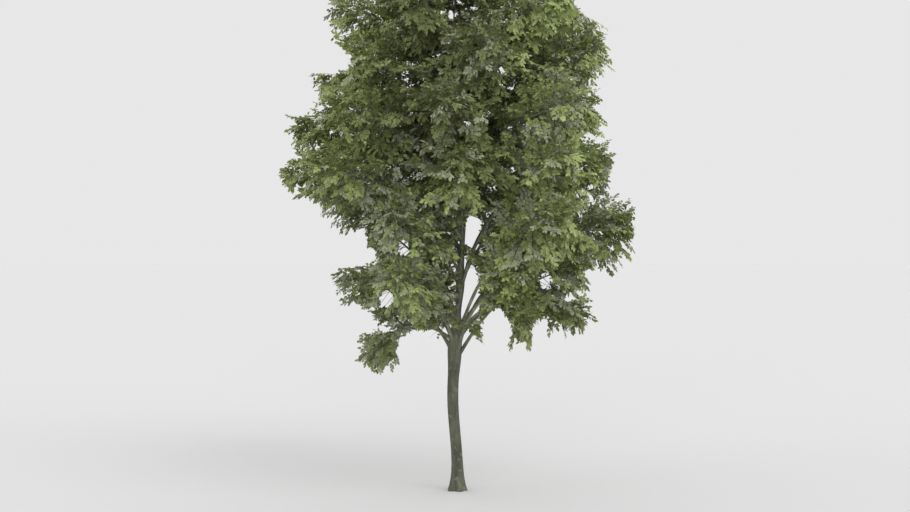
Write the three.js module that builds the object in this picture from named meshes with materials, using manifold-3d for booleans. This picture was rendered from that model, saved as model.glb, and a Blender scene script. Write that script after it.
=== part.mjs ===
// A mature American beech in summer leaf, as a scene graph of named solids: one trunk with its root
// flare, the lower boughs that show under the crown, and the masses of foliage.
// Millimetres, +Z up. The origin is the centre of the flat cut at ground level, and the front is -Y.

import * as THREE from "three";
import { mergeVertices } from "three/addons/utils/BufferGeometryUtils.js";
import Module from "manifold-3d";

const { lerp, smoothstep, degToRad, seededRandom } = THREE.MathUtils;
const wasm = await Module();
wasm.setup();

// Trunk
const TRUNK_TIP = 17900;
const BOLE_RADIUS = 206;
const BOLE_TOP_RADIUS = 192;
const FORK_HEIGHT = 4500;
const FORK_LENGTH = 2100;
const LEADER_RADIUS = 128;
const LEADER_TIP_RADIUS = 22;
const ROOT_FLARE = 135;
const ROOT_FLARE_HEIGHT = 420;
const ROOT_LOBES = 5;
const ROOT_LOBE_SHARE = 0.45;
const LEAN_SIDEWAYS = 170;
const LEAN_SIDEWAYS_PERIOD = 12500;
const LEAN_START_HEIGHT = 3600;
const LEAN_BACK = 60;
const LEAN_BACK_PERIOD = 15000;
const TRUNK_SIDES = 15;
const TRUNK_RINGS = 19;
const TRUNK_RING_CROWDING = 1.6;

// Crown. Each tier is a ring of masses. Left and right give how far its tips reach from the trunk's
// axis and how high its masses sit on those two sides, and the other bearings lie between them.
// Bearings are degrees from +X towards +Y. Wide and tall are a mass's half sizes, fork is the height
// at which the tier's first limb leaves the trunk, butt is the limb's radius there, and arch is how
// strongly the limb bends over.
const TIERS = [
  {
    name: "skirt", fork: 4900, butt: 58, arch: 2.2, boughs: true, wide: 1100, tall: 1250,
    left: { reach: 3600, height: 5750 }, right: { reach: 4900, height: 6850 },
    bearings: [306, 186, 8],
  },
  {
    name: "low", fork: 4500, butt: 70, arch: 1, boughs: true, wide: 1350, tall: 1250,
    left: { reach: 4400, height: 7500 }, right: { reach: 4700, height: 7850 },
    bearings: [350, 58, 130, 299, 171, 238],
  },
  {
    name: "flank", fork: 5280, butt: 64, arch: 1, boughs: true, wide: 1500, tall: 1900,
    left: { reach: 4100, height: 9400 }, right: { reach: 6350, height: 9500 },
    bearings: [53, 2, 124, 307, 180, 236],
  },
  {
    name: "middle", fork: 7050, butt: 58, arch: 1, boughs: false, wide: 1750, tall: 1450,
    left: { reach: 6350, height: 11250 }, right: { reach: 5550, height: 11500 },
    bearings: [48, 0, 98, 142, 314, 180, 218, 272],
  },
  {
    name: "broad", fork: 9500, butt: 50, arch: 1, boughs: false, wide: 1800, tall: 1450,
    left: { reach: 6050, height: 13150 }, right: { reach: 5350, height: 13500 },
    bearings: [14, 72, 116, 170, 226, 266, 322],
  },
  {
    name: "upper", fork: 11500, butt: 42, arch: 1, boughs: false, wide: 1800, tall: 1450,
    left: { reach: 5350, height: 14850 }, right: { reach: 5350, height: 15400 },
    bearings: [345, 42, 98, 165, 222, 282],
  },
  {
    name: "high", fork: 13700, butt: 34, arch: 1, boughs: false, wide: 1750, tall: 1550,
    left: { reach: 4550, height: 16950 }, right: { reach: 5200, height: 17050 },
    bearings: [12, 75, 135, 190, 250, 318],
  },
];
// A tier's limbs fork from the trunk at even steps, taken two at a time from one limb to the next.
const FORK_STEP = 170;
const FORK_STRIDE = 2;
const SIDES = [
  "right", "back_right", "back", "back_left", "left", "front_left", "front", "front_right",
];
const TOP_MASS = { name: "top", height: 18150, wide: 3200, tall: 1850 };

// Limbs. A limb leaves the trunk steeper than its chord and arches over to a flatter end.
const LAUNCH = degToRad(20);
const LAUNCH_SHARE = 0.4;
const LANDING = degToRad(-30);
const LANDING_SHARE = 0.3;
const STEM_END = 0.8;
const MASS_ENTRY = 0.85;
const STEM_RADIUS = 38;
const STEM_TIP_RADIUS = 22;
const BOUGH_SIDES = 6;
const BOUGH_STEPS = 5;
const STEM_SIDES = 3;
const STEM_STEPS = 3;
const STEM_END_SHARE = 0.12;
const TOUCH_GAP = 0.3;
const SMOOTHED_AWAY = 0.05;

// Foliage. Each leaf stands for a leafy spray, so it is far larger than one leaf of the tree.
const TWIG_SPACING = 600;
const TWIG_PLACE = [0.3, 0.7];
const GOLDEN_ANGLE = degToRad(137.5);
const TWIG_ANGLE = degToRad(66);
const TWIG_DROOP = 0.12;
const TWIG_SHARE = 0.4;
const TWIG_LEAST = 150;
const TWIG_RADIUS = 26;
const TWIG_TIP_RADIUS = 19;
const LEAF_LONGEST = 1900;
const LEAF_LEAST = 780;
const LEAF_SHRINKING = [1, 0.85, 0.7];
const LEAF_TRIES = 16;
const LEAF_WIDTH_SHARE = 0.76;
const LEAF_THICK_SHARE = 0.024;
const LEAF_DROOP = 0.2;
const LEAF_SPREAD = degToRad(100);
const LEAF_STATIONS = [0.55, 0.76, 0.97];
const LEAF_ROOT_SUNK = 12;
const LEAF_FACE_RISE = 0.5;
const CELL_GAP = 30;
const LIMB_CLEARANCE = 45;
const BEAD_SPACING = 70;
const SEED = 11;

const UP = new THREE.Vector3(0, 0, 1);
const BARK = new THREE.MeshStandardMaterial({ color: 0x85857a, roughness: 0.85, metalness: 0 });
const FOLIAGE = new THREE.MeshStandardMaterial({ color: 0x6d764e, roughness: 0.6, metalness: 0 });

// Solids

function solidOf(geometry) {
  geometry.deleteAttribute("normal");
  geometry.deleteAttribute("uv");
  const merged = mergeVertices(geometry);
  return new wasm.Manifold(
    new wasm.Mesh({
      numProp: 3,
      vertProperties: merged.attributes.position.array,
      triVerts: new Uint32Array(merged.index.array),
    }),
  );
}

// The largest body of a solid, as a mesh: loose scraps and sealed hollows are left behind.
function meshOf(name, solid, material) {
  const bodies = solid.asOriginal().simplify(SMOOTHED_AWAY).decompose();
  const [largest] = bodies.sort((a, b) => b.volume() - a.volume());
  const { vertProperties, triVerts } = largest.getMesh();
  const geometry = new THREE.BufferGeometry();
  geometry.setAttribute("position", new THREE.BufferAttribute(vertProperties, 3));
  geometry.setIndex(new THREE.BufferAttribute(triVerts, 1));
  geometry.computeVertexNormals();
  const mesh = new THREE.Mesh(geometry, material);
  mesh.name = name;
  return mesh;
}

// Moves each vertex of an upright unit cylinder: place(share, x, z) gets the share of the height and
// the vertex's place across the cylinder, and returns where it goes.
function reshapedCylinder(sides, steps, place) {
  const geometry = new THREE.CylinderGeometry(1, 1, 1, sides, steps);
  const position = geometry.attributes.position;
  for (let i = 0; i < position.count; i++) {
    const moved = place(position.getY(i) + 0.5, position.getX(i), position.getZ(i));
    position.setXYZ(i, moved.x, moved.y, moved.z);
  }
  return solidOf(geometry);
}

// Trunk

function trunkAxis(height) {
  const leaning = smoothstep(height, 0, LEAN_START_HEIGHT);
  return new THREE.Vector3(
    -LEAN_SIDEWAYS * leaning * Math.sin((2 * Math.PI * height) / LEAN_SIDEWAYS_PERIOD),
    LEAN_BACK * Math.sin((2 * Math.PI * height) / LEAN_BACK_PERIOD),
    height,
  );
}

function trunkRadius(height, bearing) {
  const bole = lerp(BOLE_RADIUS, BOLE_TOP_RADIUS, height / FORK_HEIGHT);
  const leaderShare = (height - FORK_HEIGHT) / (TRUNK_TIP - FORK_HEIGHT);
  const leader = lerp(LEADER_RADIUS, LEADER_TIP_RADIUS, leaderShare);
  const thinned = smoothstep(height, FORK_HEIGHT, FORK_HEIGHT + FORK_LENGTH);
  const lobes = 1 + ROOT_LOBE_SHARE * Math.cos(ROOT_LOBES * bearing);
  return lerp(bole, leader, thinned) + ROOT_FLARE * lobes * Math.exp(-height / ROOT_FLARE_HEIGHT);
}

function trunkSolid(extraRadius) {
  return reshapedCylinder(TRUNK_SIDES, TRUNK_RINGS, (share, x, z) => {
    const height = TRUNK_TIP * share ** TRUNK_RING_CROWDING;
    const radius = trunkRadius(height, Math.atan2(-z, x)) + extraRadius;
    return trunkAxis(height).add(new THREE.Vector3(x * radius, -z * radius, 0));
  });
}

// Masses and the limbs that carry them

function slanted(out, angle) {
  return out.clone().multiplyScalar(Math.cos(angle)).addScaledVector(UP, Math.sin(angle));
}

// How far a mass's space reaches from a point inside it along a direction. The space is an upright
// ellipsoid, cut by the walls towards the neighbouring masses.
function distanceToEdge(mass, point, direction) {
  const offset = point.clone().sub(mass.centre);
  const size = new THREE.Vector3(mass.wide, mass.wide, mass.tall);
  const start = offset.clone().divide(size);
  const way = direction.clone().divide(size);
  const a = way.lengthSq();
  const b = start.dot(way);
  const c = start.lengthSq() - 1;
  if (c > 0) return 0;
  return mass.walls.reduce((nearest, { normal, distance }) => {
    const facing = normal.dot(direction);
    const room = Math.max(0, distance - normal.dot(offset));
    return facing > 0 ? Math.min(nearest, room / facing) : nearest;
  }, (Math.sqrt(b * b - a * c) - b) / a);
}

function inOwnSpace(mass, point) {
  const offset = point.clone().sub(mass.centre);
  const withinWalls = mass.walls.every(({ normal, distance }) => normal.dot(offset) <= distance);
  return withinWalls && depthShare(mass, point) <= 1;
}

// The planes between a mass and its neighbours, nearer to the smaller of the two.
function wallsOf(mass, masses) {
  const neighbours = masses.filter((other) => other !== mass);
  return neighbours.map((other) => {
    const normal = other.centre.clone().sub(mass.centre);
    const apart = normal.length();
    const share = (apart ** 2 + mass.wide ** 2 - other.wide ** 2) / (2 * apart ** 2);
    return { normal: normal.normalize(), distance: share * apart - CELL_GAP };
  });
}

function makeMass(tier, bearing, fork) {
  const out = new THREE.Vector3(Math.cos(bearing), Math.sin(bearing), 0);
  const rightness = (1 + Math.cos(bearing)) / 2;
  const reach = lerp(tier.left.reach, tier.right.reach, rightness) - tier.wide;
  const height = lerp(tier.left.height, tier.right.height, rightness);
  const centre = out.clone().multiplyScalar(reach).setZ(height);
  const side = SIDES[Math.round(bearing / (Math.PI / 4)) % SIDES.length];
  const mass = {
    label: `${tier.name}_${side}`, centre, out, across: new THREE.Vector3().crossVectors(UP, out),
    wide: tier.wide, tall: tier.tall, butt: tier.butt, hasBough: tier.boughs, walls: [],
  };
  const base = trunkAxis(fork);
  const chord = centre.clone().sub(base);
  const slope = Math.atan2(chord.z, Math.hypot(chord.x, chord.y));
  const landing = slanted(out, slope + tier.arch * LANDING);
  const length = chord.length();
  mass.curve = new THREE.CubicBezierCurve3(
    base,
    base.clone().addScaledVector(slanted(out, slope + tier.arch * LAUNCH), LAUNCH_SHARE * length),
    centre.clone().addScaledVector(landing, -LANDING_SHARE * length),
    centre.clone().addScaledVector(landing, STEM_END * distanceToEdge(mass, centre, landing)),
  );
  return mass;
}

function makeTopMass() {
  const base = trunkAxis(TRUNK_TIP);
  const centre = base.clone().setZ(TOP_MASS.height);
  const mass = {
    label: TOP_MASS.name, centre, out: new THREE.Vector3(1, 0, 0), across: new THREE.Vector3(0, 1, 0),
    wide: TOP_MASS.wide, tall: TOP_MASS.tall, butt: LEADER_TIP_RADIUS, hasBough: false, walls: [],
  };
  base.z += TOUCH_GAP;
  const end = centre.clone().addScaledVector(UP, STEM_END * TOP_MASS.tall);
  mass.curve = new THREE.LineCurve3(base, end);
  return mass;
}

// How far out from a mass's centre a point lies, as a share of the way to the edge of its ellipsoid.
function depthShare(mass, point) {
  const offset = point.clone().sub(mass.centre);
  return Math.hypot(offset.x / mass.wide, offset.y / mass.wide, offset.z / mass.tall);
}

// Where along its limb's curve a mass begins.
function entryShare(mass) {
  const steps = 200;
  for (let i = 0; i <= steps; i++) {
    if (depthShare(mass, mass.curve.getPoint(i / steps)) < MASS_ENTRY) return i / steps;
  }
  throw new Error(`the limb of ${mass.label} never enters its mass`);
}

// Where the stem of a mass begins, so that it stands clear of its bough's tip by the touching gap.
function stemShare(mass) {
  const step = 0.001;
  const boughTip = mass.curve.getPoint(mass.entry);
  const beyond = mass.curve.getPoint(mass.entry + step);
  return mass.entry + (TOUCH_GAP * step) / boughTip.distanceTo(beyond);
}

function limbRadius(mass, share) {
  return share < mass.entry
    ? lerp(mass.butt, Math.min(STEM_RADIUS, mass.butt), share / mass.entry)
    : lerp(Math.min(STEM_RADIUS, mass.butt), STEM_TIP_RADIUS, (share - mass.entry) / (1 - mass.entry));
}

// A stretch of a mass's limb. Limbs stay in the upright plane through their bearing, so the line
// across that plane is square to the limb all along.
function limbSolid(mass, from, to, sides, steps) {
  return reshapedCylinder(sides, steps, (share, x, z) => {
    const at = lerp(from, to, share);
    const radius = limbRadius(mass, at);
    const upper = new THREE.Vector3().crossVectors(mass.across, mass.curve.getTangent(at));
    return mass.curve.getPoint(at)
      .addScaledVector(mass.across, x * radius)
      .addScaledVector(upper, z * radius);
  });
}

// Points along a limb with its radius there, close enough together to test what would touch it.
function beadsOf(pointAt, radiusAt, length) {
  const count = Math.ceil(length / BEAD_SPACING);
  return Array.from({ length: count + 1 }, (_, i) => ({
    share: i / count, point: pointAt(i / count), radius: radiusAt(i / count),
  }));
}

// Foliage

function twigTouches(start, end, beads) {
  const line = new THREE.Line3(start, end);
  const nearest = new THREE.Vector3();
  return beads.some(({ point, radius }) => {
    line.closestPointToPoint(point, true, nearest);
    return nearest.distanceTo(point) < radius + TWIG_RADIUS + LIMB_CLEARANCE;
  });
}

function leafTouches(leaf, beads) {
  const toLeaf = leaf.frame.clone().invert();
  const local = new THREE.Vector3();
  return beads.some(({ point, radius }) => {
    local.copy(point).applyMatrix4(toLeaf);
    const room = radius + LIMB_CLEARANCE;
    const along = Math.abs(local.y - leaf.length / 2) / (leaf.length / 2 + 2 * room);
    const aside = Math.abs(local.x) / (leaf.width / 2 + 2 * room);
    return Math.abs(local.z) < room && along + aside < 1;
  });
}

// A leaf from its root along a direction, its blade turned about that direction by the roll.
function makeLeaf(mass, root, direction, roll, length) {
  const along = direction.clone().normalize();
  const face = mass.out.clone().addScaledVector(UP, LEAF_FACE_RISE);
  face.addScaledVector(along, -face.dot(along)).normalize().applyAxisAngle(along, roll);
  const aside = new THREE.Vector3().crossVectors(along, face);
  const sunkRoot = root.clone().addScaledVector(along, -LEAF_ROOT_SUNK);
  const frame = new THREE.Matrix4().makeBasis(aside, along, face).setPosition(sunkRoot);
  return { frame, length, width: length * LEAF_WIDTH_SHARE };
}

function leafCorners({ frame, length, width }) {
  const corners = [[0, 0], [width / 2, length / 2], [0, length], [-width / 2, length / 2]];
  return corners.map(([x, y]) => new THREE.Vector3(x, y, 0).applyMatrix4(frame));
}

// Whether an edge of one leaf passes through the blade of the other.
function edgesPierce(leaf, other) {
  const toOther = other.frame.clone().invert();
  const corners = leafCorners(leaf).map((corner) => corner.applyMatrix4(toOther));
  return corners.some((from, i) => {
    const to = corners[(i + 1) % corners.length];
    if (from.z * to.z > 0) return false;
    const at = from.clone().lerp(to, from.z / (from.z - to.z));
    const along = Math.abs(at.y / other.length - 0.5);
    return Math.abs(at.x / other.width) + along < 0.5;
  });
}

function leavesCross(leaf, other) {
  return edgesPierce(leaf, other) || edgesPierce(other, leaf);
}

function leafSolid({ frame, length, width }) {
  const blade = new THREE.OctahedronGeometry(1);
  blade.scale(width / 2, length / 2, (length * LEAF_THICK_SHARE) / 2);
  blade.translate(0, length / 2, 0);
  return solidOf(blade.applyMatrix4(frame));
}

function twigSolid({ start, end }) {
  const line = new THREE.LineCurve3(start, end);
  const along = line.getTangent(0);
  const aside = new THREE.Vector3().crossVectors(along, UP).normalize();
  const upper = new THREE.Vector3().crossVectors(aside, along);
  return reshapedCylinder(3, 1, (share, x, z) => {
    const radius = lerp(TWIG_RADIUS, TWIG_TIP_RADIUS, share);
    return line.getPoint(share).addScaledVector(aside, x * radius).addScaledVector(upper, z * radius);
  });
}

// The twigs of a mass, more on a wider one, turned by the golden angle from one to the next along
// its stem.
function twigsOf(mass) {
  const count = Math.ceil(mass.wide / TWIG_SPACING);
  return Array.from({ length: count }, (_, i) => {
    const at = lerp(mass.entry, 1, (i + lerp(...TWIG_PLACE, seededRandom())) / count);
    const tangent = mass.curve.getTangent(at);
    const upper = new THREE.Vector3().crossVectors(mass.across, tangent);
    const roll = i * GOLDEN_ANGLE + seededRandom();
    const aside = mass.across.clone().multiplyScalar(Math.cos(roll))
      .addScaledVector(upper, Math.sin(roll));
    const direction = tangent.multiplyScalar(Math.cos(TWIG_ANGLE))
      .addScaledVector(aside, Math.sin(TWIG_ANGLE))
      .addScaledVector(UP, -TWIG_DROOP)
      .normalize();
    const start = mass.curve.getPoint(at);
    const length = TWIG_SHARE * distanceToEdge(mass, start, direction);
    return { start, direction, end: start.clone().addScaledVector(direction, length) };
  });
}

// The leaf at one station of a twig: the longest of a few seeded tries that fits, or none.
function leafAt(mass, fits, { start, end, direction }, station) {
  const root = start.clone().lerp(end, station);
  const tries = Array.from({ length: LEAF_TRIES }, () => {
    const hinge = new THREE.Vector3().crossVectors(direction, mass.across).normalize();
    hinge.applyAxisAngle(direction, 2 * Math.PI * seededRandom());
    const way = direction.clone().applyAxisAngle(hinge, LEAF_SPREAD * seededRandom());
    way.addScaledVector(UP, -LEAF_DROOP).normalize();
    const longest = Math.min(LEAF_LONGEST, distanceToEdge(mass, root, way));
    return { way, longest, roll: Math.PI * seededRandom() };
  });
  return tries
    .flatMap(({ way, longest, roll }) =>
      LEAF_SHRINKING.map((share) => makeLeaf(mass, root, way, roll, share * longest)))
    .filter((leaf) => leaf.length > LEAF_LEAST)
    .sort((a, b) => b.length - a.length)
    .find(fits);
}

// The stem of a mass with its twigs and leaves fused on.
function foliageSolid(mass, stem, beads) {
  const leaves = [];
  const fits = (leaf) =>
    leafCorners(leaf).every((corner) => inOwnSpace(mass, corner)) &&
    !leaves.some((other) => leavesCross(leaf, other)) &&
    !leafTouches(leaf, beads);
  const twigs = twigsOf(mass).filter(({ start, end }) =>
    start.distanceTo(end) > TWIG_LEAST && !twigTouches(start, end, beads));
  const stemEnd = {
    start: mass.curve.getPoint(1 - STEM_END_SHARE),
    end: mass.curve.getPoint(1),
    direction: mass.curve.getTangent(1),
  };
  const bearers = [...twigs, stemEnd];
  for (const station of LEAF_STATIONS.toReversed()) {
    for (const bearer of bearers) {
      const leaf = leafAt(mass, fits, bearer, station);
      if (leaf) leaves.push(leaf);
    }
  }
  const grown = [...twigs.map(twigSolid), ...leaves.map(leafSolid)];
  return grown.reduce((body, piece) => body.add(piece), stem);
}

// Assembly

const masses = TIERS.flatMap((tier) =>
  tier.bearings.map((bearing, i) =>
    makeMass(tier, degToRad(bearing), tier.fork + ((i * FORK_STRIDE) % tier.bearings.length) * FORK_STEP)));
masses.push(makeTopMass());
for (const mass of masses) {
  mass.walls = wallsOf(mass, masses);
  mass.entry = mass.label === TOP_MASS.name ? 0 : entryShare(mass);
  mass.beads = beadsOf(
    (share) => mass.curve.getPoint(share),
    (share) => limbRadius(mass, share),
    mass.curve.getLength(),
  );
}
const trunkBeads = beadsOf(
  (share) => trunkAxis(share * TRUNK_TIP),
  (share) => trunkRadius(share * TRUNK_TIP, 0),
  TRUNK_TIP,
);

// What the leaves of a mass keep clear of: the trunk, every other limb, and its own bough.
function beadsRoundMass(mass) {
  return masses.reduce((found, other) => {
    const isBough = (bead) => mass.hasBough && bead.share < mass.entry;
    return found.concat(other === mass ? mass.beads.filter(isBough) : other.beads);
  }, trunkBeads);
}

const tree = new THREE.Group();
tree.name = "american_beech";
tree.add(meshOf("trunk", trunkSolid(0), BARK));
const trunkRoom = trunkSolid(TOUCH_GAP);
masses.forEach((mass, i) => {
  seededRandom(SEED + i);
  let stem;
  if (mass.hasBough) {
    const bough = limbSolid(mass, 0, mass.entry, BOUGH_SIDES, BOUGH_STEPS).subtract(trunkRoom);
    tree.add(meshOf(`bough_${mass.label}`, bough, BARK));
    stem = limbSolid(mass, stemShare(mass), 1, STEM_SIDES, STEM_STEPS);
  } else {
    stem = limbSolid(mass, 0, 1, STEM_SIDES, BOUGH_STEPS).subtract(trunkRoom);
  }
  const foliage = foliageSolid(mass, stem, beadsRoundMass(mass));
  tree.add(meshOf(`foliage_${mass.label}`, foliage, FOLIAGE));
});

export default tree;
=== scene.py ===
"""Looks of the American beech: bark, boughs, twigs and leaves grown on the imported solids' frame.

Metres, +Z up, origin at the centre of the flat cut under the trunk, front towards -Y.
"""

import math

import bpy
import numpy as np
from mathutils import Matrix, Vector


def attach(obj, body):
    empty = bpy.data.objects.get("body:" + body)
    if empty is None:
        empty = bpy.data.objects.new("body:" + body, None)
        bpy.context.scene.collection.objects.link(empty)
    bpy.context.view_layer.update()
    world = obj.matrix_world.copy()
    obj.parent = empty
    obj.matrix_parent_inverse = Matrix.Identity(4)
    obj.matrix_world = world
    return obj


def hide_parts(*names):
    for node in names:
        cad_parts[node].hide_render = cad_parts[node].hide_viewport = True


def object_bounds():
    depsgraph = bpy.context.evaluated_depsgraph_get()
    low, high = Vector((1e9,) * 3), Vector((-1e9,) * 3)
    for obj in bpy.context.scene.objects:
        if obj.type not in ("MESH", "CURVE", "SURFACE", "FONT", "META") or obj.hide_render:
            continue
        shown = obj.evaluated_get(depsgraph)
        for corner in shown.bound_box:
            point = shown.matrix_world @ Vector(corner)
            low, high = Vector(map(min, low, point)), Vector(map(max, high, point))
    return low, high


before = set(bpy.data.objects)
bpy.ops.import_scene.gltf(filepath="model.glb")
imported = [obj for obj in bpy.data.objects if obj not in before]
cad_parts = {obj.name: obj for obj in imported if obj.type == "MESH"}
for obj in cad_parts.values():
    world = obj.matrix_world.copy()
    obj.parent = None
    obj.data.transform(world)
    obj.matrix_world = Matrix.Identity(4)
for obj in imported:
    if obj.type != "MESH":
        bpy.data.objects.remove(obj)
cad_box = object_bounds()

UP = np.array((0.0, 0.0, 1.0))
RIGHT = np.array((1.0, 0.0, 0.0))
TURN = 2 * np.pi
TINY = 1e-6
LEAST_LENGTH = 1e-12

# Sizes and rule of the part's source, in metres
TRUNK_TIP = 17.9
BOLE_RADIUS = 0.206
BOLE_TOP_RADIUS = 0.192
FORK_HEIGHT = 4.5
FORK_LENGTH = 2.1
LEADER_RADIUS = 0.128
LEADER_TIP_RADIUS = 0.022
ROOT_FLARE = 0.135
ROOT_FLARE_HEIGHT = 0.42
ROOT_LOBES = 5
ROOT_LOBE_SHARE = 0.45
LEAN_SIDEWAYS = 0.17
LEAN_SIDEWAYS_PERIOD = 12.5
LEAN_START_HEIGHT = 3.6
LEAN_BACK = 0.06
LEAN_BACK_PERIOD = 15.0

# name, fork, butt, arch, boughs, wide, tall, left (reach, height), right (reach, height), bearings
TIERS = [
    ("skirt", 4.9, 0.058, 2.2, True, 1.1, 1.25, (3.6, 5.75), (4.9, 6.85), [306, 186, 8]),
    ("low", 4.5, 0.07, 1, True, 1.35, 1.25, (4.4, 7.5), (4.7, 7.85),
     [350, 58, 130, 299, 171, 238]),
    ("flank", 5.28, 0.064, 1, True, 1.5, 1.9, (4.1, 9.4), (6.35, 9.5),
     [53, 2, 124, 307, 180, 236]),
    ("middle", 7.05, 0.058, 1, False, 1.75, 1.45, (6.35, 11.25), (5.55, 11.5),
     [48, 0, 98, 142, 314, 180, 218, 272]),
    ("broad", 9.5, 0.05, 1, False, 1.8, 1.45, (6.05, 13.15), (5.35, 13.5),
     [14, 72, 116, 170, 226, 266, 322]),
    ("upper", 11.5, 0.042, 1, False, 1.8, 1.45, (5.35, 14.85), (5.35, 15.4),
     [345, 42, 98, 165, 222, 282]),
    ("high", 13.7, 0.034, 1, False, 1.75, 1.55, (4.55, 16.95), (5.2, 17.05),
     [12, 75, 135, 190, 250, 318]),
]
FORK_STEP = 0.17
FORK_STRIDE = 2
SIDES = ["right", "back_right", "back", "back_left", "left", "front_left", "front", "front_right"]
SIDE_DEGREES = 360 / len(SIDES)
TOP_HEIGHT = 18.15
TOP_WIDE = 3.2
TOP_TALL = 1.85
LAUNCH = math.radians(20)
LAUNCH_SHARE = 0.4
LANDING = math.radians(-30)
LANDING_SHARE = 0.3
STEM_END = 0.8
MASS_ENTRY = 0.85
STEM_RADIUS = 0.038
GOLDEN_ANGLE = math.radians(137.5)
SEED = 11

# Meshes of the trunk and limbs. Rows of trunk rings: from height, to height, how many. Grids: steps
# along a limb, sides round it.
TRUNK_SIDES = 72
TRUNK_RINGS = [(0, 1.2, 60), (1.2, 7, 200), (7, TRUNK_TIP - 0.05, 90)]
CUT_RING_RADIUS = 0.1
BOUGH_GRID = (64, 16)
LIMB_GRID = (48, 9)
ENTRY_STEPS = 201
STEM_TIP_RADIUS = 0.009
TOP_STEM_SUNK = 0.3
LIMB_WAVE_SIZES = (0.05, 0.035)
LIMB_WAVE_COUNT = (1.5, 3)
COLLAR_SHARE = 0.75
COLLAR_START = 0.12
COLLAR_LENGTH = 0.16
SWELL_PART = 0.5
SWELL_STEPS = 200
SWELL_BELOW = 0.9
SWELL_ABOVE = 0.7
SWELL_SHARE = 0.7
SWELL_WIDTH = 1.3
NEAR_UPRIGHT = 0.9

# Bark relief as waves: how many round the stem, radians per metre along it, and height. The height is
# in metres on a trunk as thick as the bole, and a share of the radius on limbs.
FLUTES = [(3, 0.5, 0.0042), (6, 1.2, 0.0022)]
WRINKLES = [(2, 55, 0.00045), (5, 90, 0.0003), (12, 30, 0.0004)]
LIMB_RELIEF = [(2, 1.5, 0.016), (3, 6, 0.012), (4, 40, 0.006)]
FLUTE_SEED = 3
WRINKLE_SEED = 5
SCAR_SEED = 8
LIMB_SEED = 40
WAVES_EACH = 6
WAVE_SPREAD = 2
WAVE_STRETCH = (0.6, 1.4)
WAVE_PHASE = 6.28

# Scars of shed branches: an arched ridge over a hollow
SCARS = 26
SCAR_HEIGHT = (0.9, 5.2)
SCAR_WIDE = (0.05, 0.10)
SCAR_TALL = (0.03, 0.06)
RIDGE_ARCH = 2.6
RIDGE_SIZE = 0.006
RIDGE_SHARE = 0.35
HOLLOW_SUNK = 0.02
HOLLOW_SIZE = 0.005
HOLLOW_SHARE = 0.4

# Bark finish: noise as scale, stretch, detail and roughness; ramps as places and tones
BARK_LIGHT = 0.095
BARK_TINT = (0.98, 1.01, 0.73)
BARK_NOISE = (2.2, (1, 1, 0.45), 6.0, 0.6)
BARK_RAMP = [(0.3, 0.58), (0.5, 1), (0.7, 1.45)]
STREAK_NOISE = (9.0, (1, 1, 0.12), 6.0, 0.6)
STREAK_RAMP = [(0.35, (0.62, 0.62, 0.6)), (0.62, (1.08, 1.08, 1.06))]
STREAK_SHARE = 0.75
LENTICEL_NOISE = (34.0, (0.35, 0.35, 2.4), 6.0, 0.6)
LENTICEL_RAMP = [(0.34, (0.55, 0.54, 0.5)), (0.47, (1, 1, 1))]
LENTICEL_SHARE = 0.6
LICHEN_NOISE = (5.5, (1, 1, 0.8), 8.0, 0.7)
LICHEN_RAMP = [(0.56, (0, 0, 0)), (0.66, (1, 1, 1))]
LICHEN_TINT = (0.98, 1.0, 0.82)
LICHEN_LIGHT = 1.9
MOSS_NOISE = (3.1, (1, 1, 0.5), 7.0, 0.7)
MOSS_RAMP = [(0.58, (0, 0, 0)), (0.74, (0.7, 0.7, 0.7))]
MOSS_TINT = (0.95, 1.0, 0.6)
MOSS_LIGHT = 0.75
# Painted light: the bark is paler on the boughs and leader than on the bole, rising between two
# heights, against the crown's shade on them
BOUGH_PAINTED_LIGHT = 0.28
PAINTED_LIGHT_START = 4.5
PAINTED_LIGHT_FULL = 6.8
ROUGH_NOISE = (12.0, (1, 1, 0.6), 6.0, 0.6)
BARK_ROUGHNESS = (0.62, 0.92)
BUMP_NOISE = (46.0, (0.5, 0.5, 1.7), 8.0, 0.65)
BUMP_STRENGTH = 0.45
BUMP_DISTANCE = 0.006
BARK_SPECULAR = 0.3
LEAF_SPECULAR = 0.35

# Finer growth: branches on the limbs, leafy shoots on the branches, leaves on the shoots. FILL is how
# many times the usual branches a mass has, by its name or its tier's.
BRANCHES = 28
USUAL_WIDE = 1.7
FILL_POWER = 1.5
FILL = {
    "skirt": 1.5,
    "low": 1.45,
    "flank": 1.45,
    "top": 1.35,
    "flank_right": 2.0,
    "middle_right": 1.5,
    "broad_right": 1.4,
    "upper_right": 1.6,
    "high_front_right": 1.4,
    "high_right": 1.2,
}
BRANCH_PLACE = 0.3
BRANCH_PLACE_SPREAD = 0.4
BRANCH_SPREAD = (78, 38)
BRANCH_DROOP = 0.12
BRANCH_SAG = 0.16
BRANCH_INSET = 0.93
BRANCH_REACH = (0.74, 0.98)
TOP_FOOT_REACH = 0.16
BRANCH_LEAST = 0.3
BRANCH_STEPS = 8
BRANCH_LENGTH = 1.2
BRANCH_RADIUS = 0.013
BRANCH_TIP_RADIUS = 0.004
TWIG_SIDES = 3
INNER_STEPS = 60
INNER_SPACING = 0.28
INNER_SPREAD = 58.0
INNER_REACH = (0.7, 1.35)
INNER_START = 0.75
LEADER_START = 8.7
LEADER_END = TRUNK_TIP - 0.1
LEADER_SPACING = 0.16
LEADER_SKEW = 0.75
LEADER_REACH = (1.0, 2.0)
LEAST_SHOOTS = 3
SHOOT_SPACING = 0.085
SHOOT_PLACE = (0.12, 0.97)
SHOOT_TILT = 50
BRANCH_TILT = 25
SHOOT_ANGLE = math.radians(52)
SHOOT_ANGLE_SHARE = (0.7, 1.25)
SHOOT_DROOP = 0.18
SHOOT_LENGTH = (0.26, 0.5)
SHOOT_END_SHARE = 0.7
SHOOT_RADIUS = 0.0034
END_ANGLE = 0.1
LEAST_LEAVES = 3
LEAF_SPACING = 0.042
LEAF_PLACE = 0.6
LEAF_LENGTH = (0.13, 0.18)
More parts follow.
